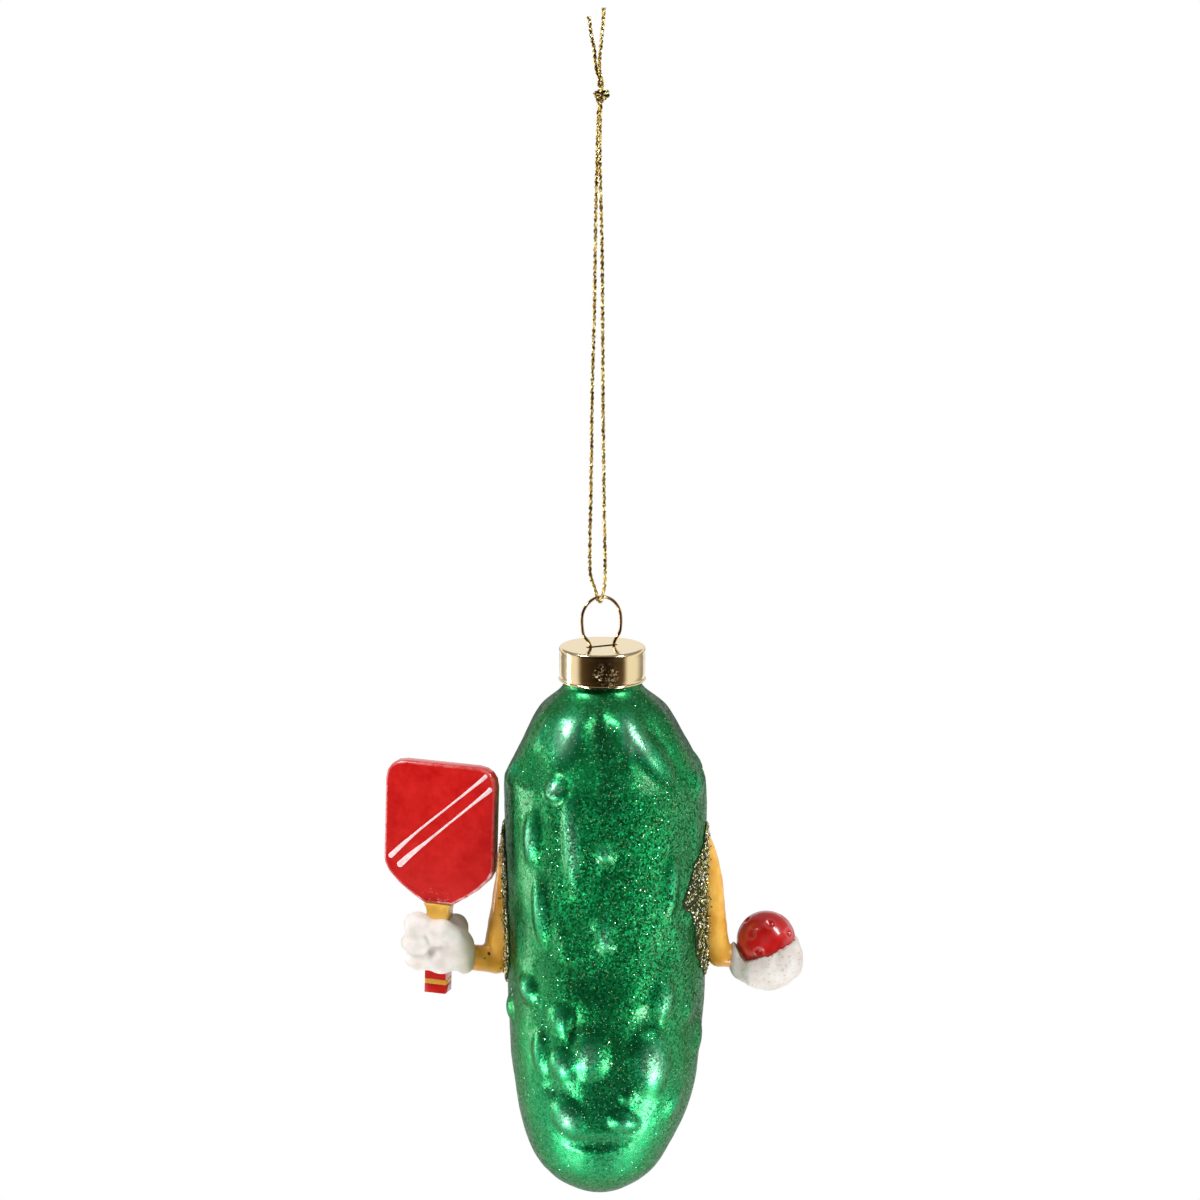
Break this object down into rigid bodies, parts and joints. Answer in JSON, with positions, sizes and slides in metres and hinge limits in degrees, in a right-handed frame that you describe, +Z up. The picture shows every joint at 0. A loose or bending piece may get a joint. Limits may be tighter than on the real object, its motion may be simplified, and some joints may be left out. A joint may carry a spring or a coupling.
{
  "type": "hanging ornament",
  "caption": "Hanging glass ornament: a warty pickle with a slotted metal cap, wire ring and knotted cord, whose cast arms hold a paddle and a ball",
  "frame": {"origin": "top of the cord's loop, right under its knot, where the ornament hangs from", "axes": "+Z up along the cord and the glass, -Y the figure's back, which the picture shows, -X the figure's left hand with the paddle"},
  "size_m": [0.0843, 0.041, 0.2425],
  "materials": {
    "cord": "twisted metallic yarn",
    "wire": "polished",
    "cap": "polished",
    "green_glass": "satin over silvering, fine glitter",
    "yellow_paint": "gloss",
    "white_paint": "satin",
    "red_paint": "gloss",
    "stripe_paint": "gloss, raised",
    "glitter": "coarse glitter in glue"
  },
  "bodies": {
    "cord": {"hanging_cord": "cord", "cord_knot": "cord", "cord_tail_left": "cord", "cord_tail_right": "cord"},
    "hanger": {"hanger_wire": "wire"},
    "cap": {"cap": "cap"},
    "ornament": {"glass_body": "green_glass", "left_arm": "yellow_paint", "right_arm": "yellow_paint", "seam_left": "glitter", "seam_right": "glitter", "left_glove": "white_paint", "right_glove": "white_paint", "ball": "red_paint", "paddle_blade": "red_paint", "stripe_upper": "stripe_paint", "stripe_lower": "stripe_paint", "paddle_neck": "yellow_paint", "paddle_grip": "red_paint", "grip_band": "yellow_paint", "grip_butt": "red_paint"}
  },
  "joints": [
    {"name": "cord_swing", "type": "hinge", "parent": "cord", "child": "hanger", "pos_m": [-0.00065, -0.00013, -0.09935], "axis": [0.9136, 0.4067, 0], "range_deg": [-90, 90]},
    {"name": "cap_lift", "type": "slide", "parent": "hanger", "child": "cap", "axis": [0, 0, 1], "range_m": [0, 0.001]},
    {"name": "cap_pull", "type": "slide", "parent": "cap", "child": "ornament", "axis": [0, 0, -1], "range_m": [0, 0.022]}
  ]
}
